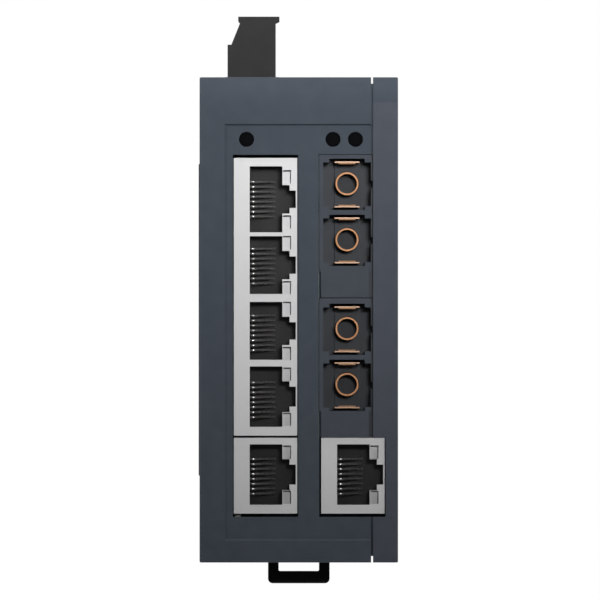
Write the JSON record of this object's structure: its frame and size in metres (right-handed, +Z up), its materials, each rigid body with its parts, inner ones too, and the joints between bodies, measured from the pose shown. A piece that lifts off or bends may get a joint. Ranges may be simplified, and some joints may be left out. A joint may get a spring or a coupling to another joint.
{
  "type": "din rail ethernet switch",
  "caption": "Slim industrial ethernet switch for a 35 mm rail, with RJ45 and twin fibre sockets on the front, a power plug on top and a sprung latch below.",
  "frame": {"origin": "middle of the rail's width on the plane where the case rests on the rail", "axes": "+X to the right seen from the front, +Y to the rear towards the rail, +Z up"},
  "size_m": [0.0411, 0.085, 0.1181],
  "materials": {
    "case_plastic": "fine moulded grain",
    "black_plastic": "matte",
    "plug_plastic": "matte",
    "smoked_lens": "polished",
    "led_epoxy": "clear",
    "green_board": "solder mask",
    "chip_epoxy": "matte",
    "ferrite": "sintered",
    "can_aluminium": "satin",
    "zinc_steel": "zinc plated",
    "spring_steel": "drawn",
    "tinned_brass": "tinned",
    "gilt_wire": "bright",
    "jack_steel": "satin nickel",
    "jack_plastic": "matte",
    "light_pipe": "frosted",
    "transceiver_plastic": "matte",
    "copper_sleeve": "satin",
    "copper_hooks": "satin"
  },
  "bodies": {
    "case": {"board_link": "black_plastic", "board_screws": "zinc_steel", "capacitor_1": "can_aluminium", "capacitor_2": "can_aluminium", "fibre_sleeve_1": "copper_sleeve", "fibre_sleeve_2": "copper_sleeve", "fibre_sleeve_3": "copper_sleeve", "fibre_sleeve_4": "copper_sleeve", "housing": "case_plastic", "left_jack_body": "jack_plastic", "left_jack_shield": "jack_steel", "lower_transceiver": "transceiver_plastic", "main_board": "green_board", "port_bank_body": "jack_plastic", "port_bank_shield": "jack_steel", "port_board": "green_board", "port_contacts_1": "gilt_wire", "port_contacts_2": "gilt_wire", "port_contacts_3": "gilt_wire", "port_contacts_4": "gilt_wire", "port_contacts_5": "gilt_wire", "port_contacts_6": "gilt_wire", "port_lights_1": "light_pipe", "port_lights_2": "light_pipe", "port_lights_3": "light_pipe", "port_lights_4": "light_pipe", "port_lights_5": "light_pipe", "port_lights_6": "light_pipe", "power_choke": "ferrite", "power_header": "black_plastic", "power_pins": "tinned_brass", "right_jack_body": "jack_plastic", "right_jack_shield": "jack_steel", "side_cover": "case_plastic", "side_plate": "black_plastic", "socket_hooks_1": "copper_hooks", "socket_hooks_2": "copper_hooks", "socket_hooks_3": "copper_hooks", "socket_hooks_4": "copper_hooks", "status_leds": "led_epoxy", "status_light_1": "smoked_lens", "status_light_2": "smoked_lens", "status_light_3": "smoked_lens", "switch_chip": "chip_epoxy", "transformer_1": "chip_epoxy", "transformer_2": "chip_epoxy", "transformer_3": "chip_epoxy", "upper_transceiver": "transceiver_plastic"},
    "latch": {"rail_latch": "black_plastic", "latch_spring": "spring_steel"},
    "plug": {"power_plug": "plug_plastic", "plug_contacts": "tinned_brass"}
  },
  "joints": [
    {"name": "latch_slide", "type": "slide", "parent": "case", "child": "latch", "axis": [0, 0, -1], "range_m": [0, 0.0035], "stiffness_N_per_m": 900, "springref_m": -0.002, "deforming": ["latch_spring"]},
    {"name": "plug_pull", "type": "slide", "parent": "case", "child": "plug", "axis": [0, 0, 1], "range_m": [0, 0.012]}
  ]
}
